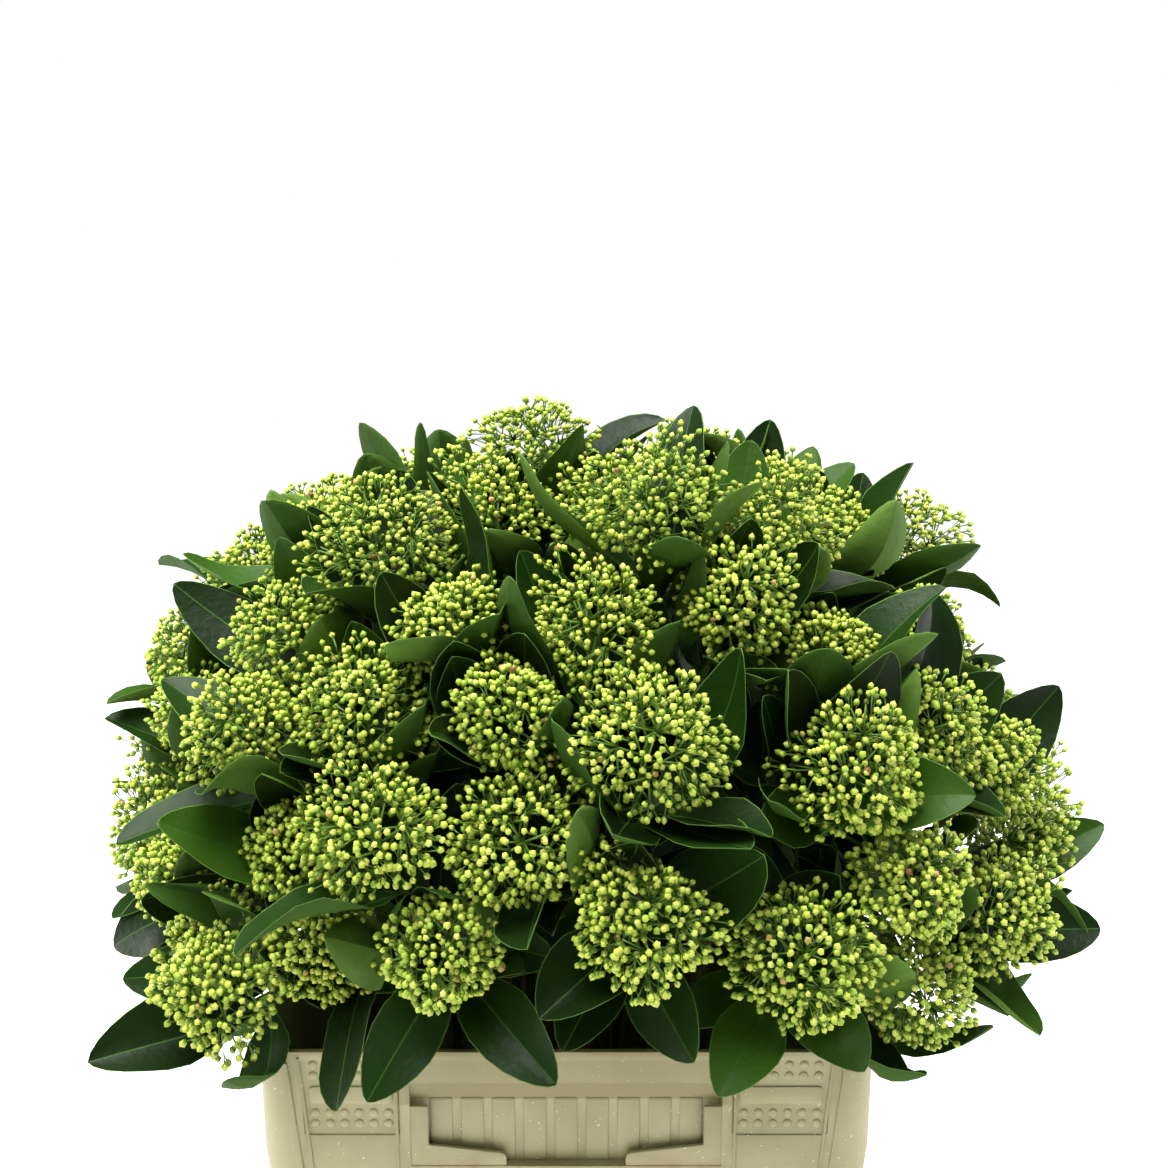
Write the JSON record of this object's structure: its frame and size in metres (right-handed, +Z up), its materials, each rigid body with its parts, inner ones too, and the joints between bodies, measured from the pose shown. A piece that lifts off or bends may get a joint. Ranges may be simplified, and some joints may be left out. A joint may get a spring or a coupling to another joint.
{
  "type": "bunch of cut skimmia stems in a flower bucket",
  "caption": "Dome of green-budded skimmia sprays with glossy leaves, on bare stems that stand in a tapered rectangular flower bucket.",
  "frame": {"origin": "middle of the bucket's flat underside", "axes": "+Z up; -Y out of the short side of the bucket that faces the viewer; +X to the right"},
  "size_m": [0.6018, 0.5771, 0.5987],
  "materials": {
    "bucket_plastic": "cream moulded plastic, slightly worn",
    "stem_bark": "green-brown young bark, finely ribbed",
    "foliage": "waxy yellow-green buds over glossy dark green leaves",
    "leaf": "glossy dark green blade with a paler midrib, edge and underside",
    "bud": "waxy yellow-green closed flower buds"
  },
  "bodies": {
    "root": {"bucket": "bucket_plastic", "stem_01": "stem_bark", "spray_01": "foliage", "stem_02": "stem_bark", "spray_02": "foliage", "stem_03": "stem_bark", "spray_03": "foliage", "stem_04": "stem_bark", "spray_04": "foliage", "stem_05": "stem_bark", "spray_05": "foliage", "stem_06": "stem_bark", "spray_06": "foliage", "stem_07": "stem_bark", "spray_07": "foliage", "stem_08": "stem_bark", "spray_08": "foliage", "stem_09": "stem_bark", "spray_09": "foliage", "stem_10": "stem_bark", "spray_10": "foliage", "stem_11": "stem_bark", "spray_11": "foliage", "stem_12": "stem_bark", "spray_12": "foliage", "stem_13": "stem_bark", "spray_13": "foliage", "stem_14": "stem_bark", "spray_14": "foliage", "stem_15": "stem_bark", "spray_15": "foliage", "stem_16": "stem_bark", "spray_16": "foliage", "stem_17": "stem_bark", "spray_17": "foliage", "stem_18": "stem_bark", "spray_18": "foliage", "stem_19": "stem_bark", "spray_19": "foliage", "stem_20": "stem_bark", "spray_20": "foliage", "stem_21": "stem_bark", "spray_21": "foliage", "stem_22": "stem_bark", "spray_22": "foliage", "stem_23": "stem_bark", "spray_23": "foliage", "stem_24": "stem_bark", "spray_24": "foliage", "stem_25": "stem_bark", "spray_25": "foliage", "stem_26": "stem_bark", "spray_26": "foliage", "stem_27": "stem_bark", "spray_27": "foliage", "stem_28": "stem_bark", "spray_28": "foliage"}
  },
  "joints": []
}
